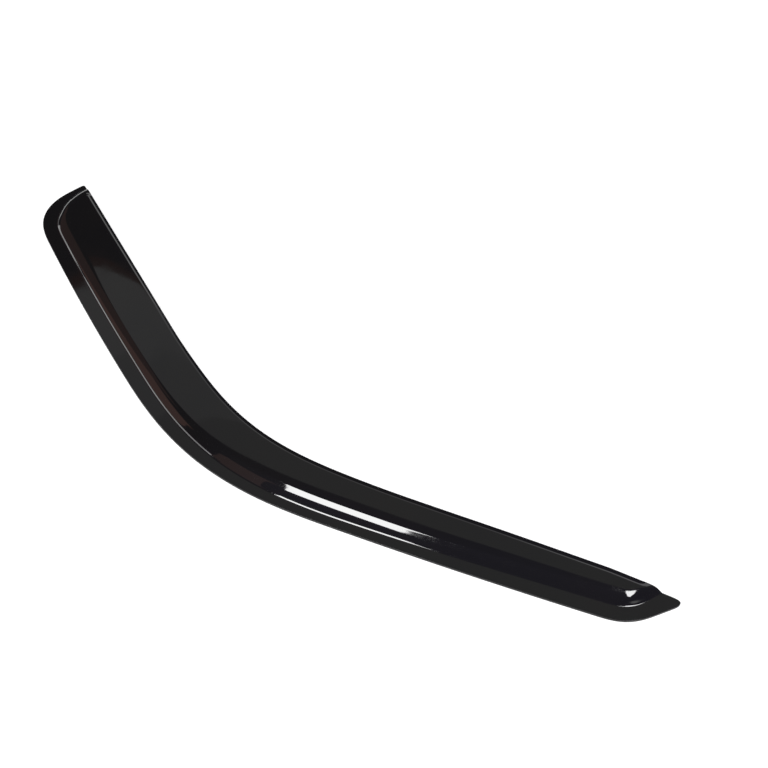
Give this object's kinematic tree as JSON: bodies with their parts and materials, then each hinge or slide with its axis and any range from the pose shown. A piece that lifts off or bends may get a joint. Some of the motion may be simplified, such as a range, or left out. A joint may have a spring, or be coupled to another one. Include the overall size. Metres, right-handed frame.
{
  "type": "window rain deflector",
  "caption": "Bent shell of smoked acrylic that fixes over the top of a car's side window by a flat flange, with a raised panel that sheds rain over an open window.",
  "frame": {"origin": "centre of the bounding box at the level of the flange's back, which lies on the door", "axes": "+X from the rear end to the front tip, +Y towards the free edge, +Z away from the door"},
  "size_m": [0.9068, 0.1992, 0.0153],
  "materials": {
    "smoked_acrylic": "polished gloss, dark smoke tint"
  },
  "bodies": {
    "root": {"deflector": "smoked_acrylic"}
  },
  "joints": []
}
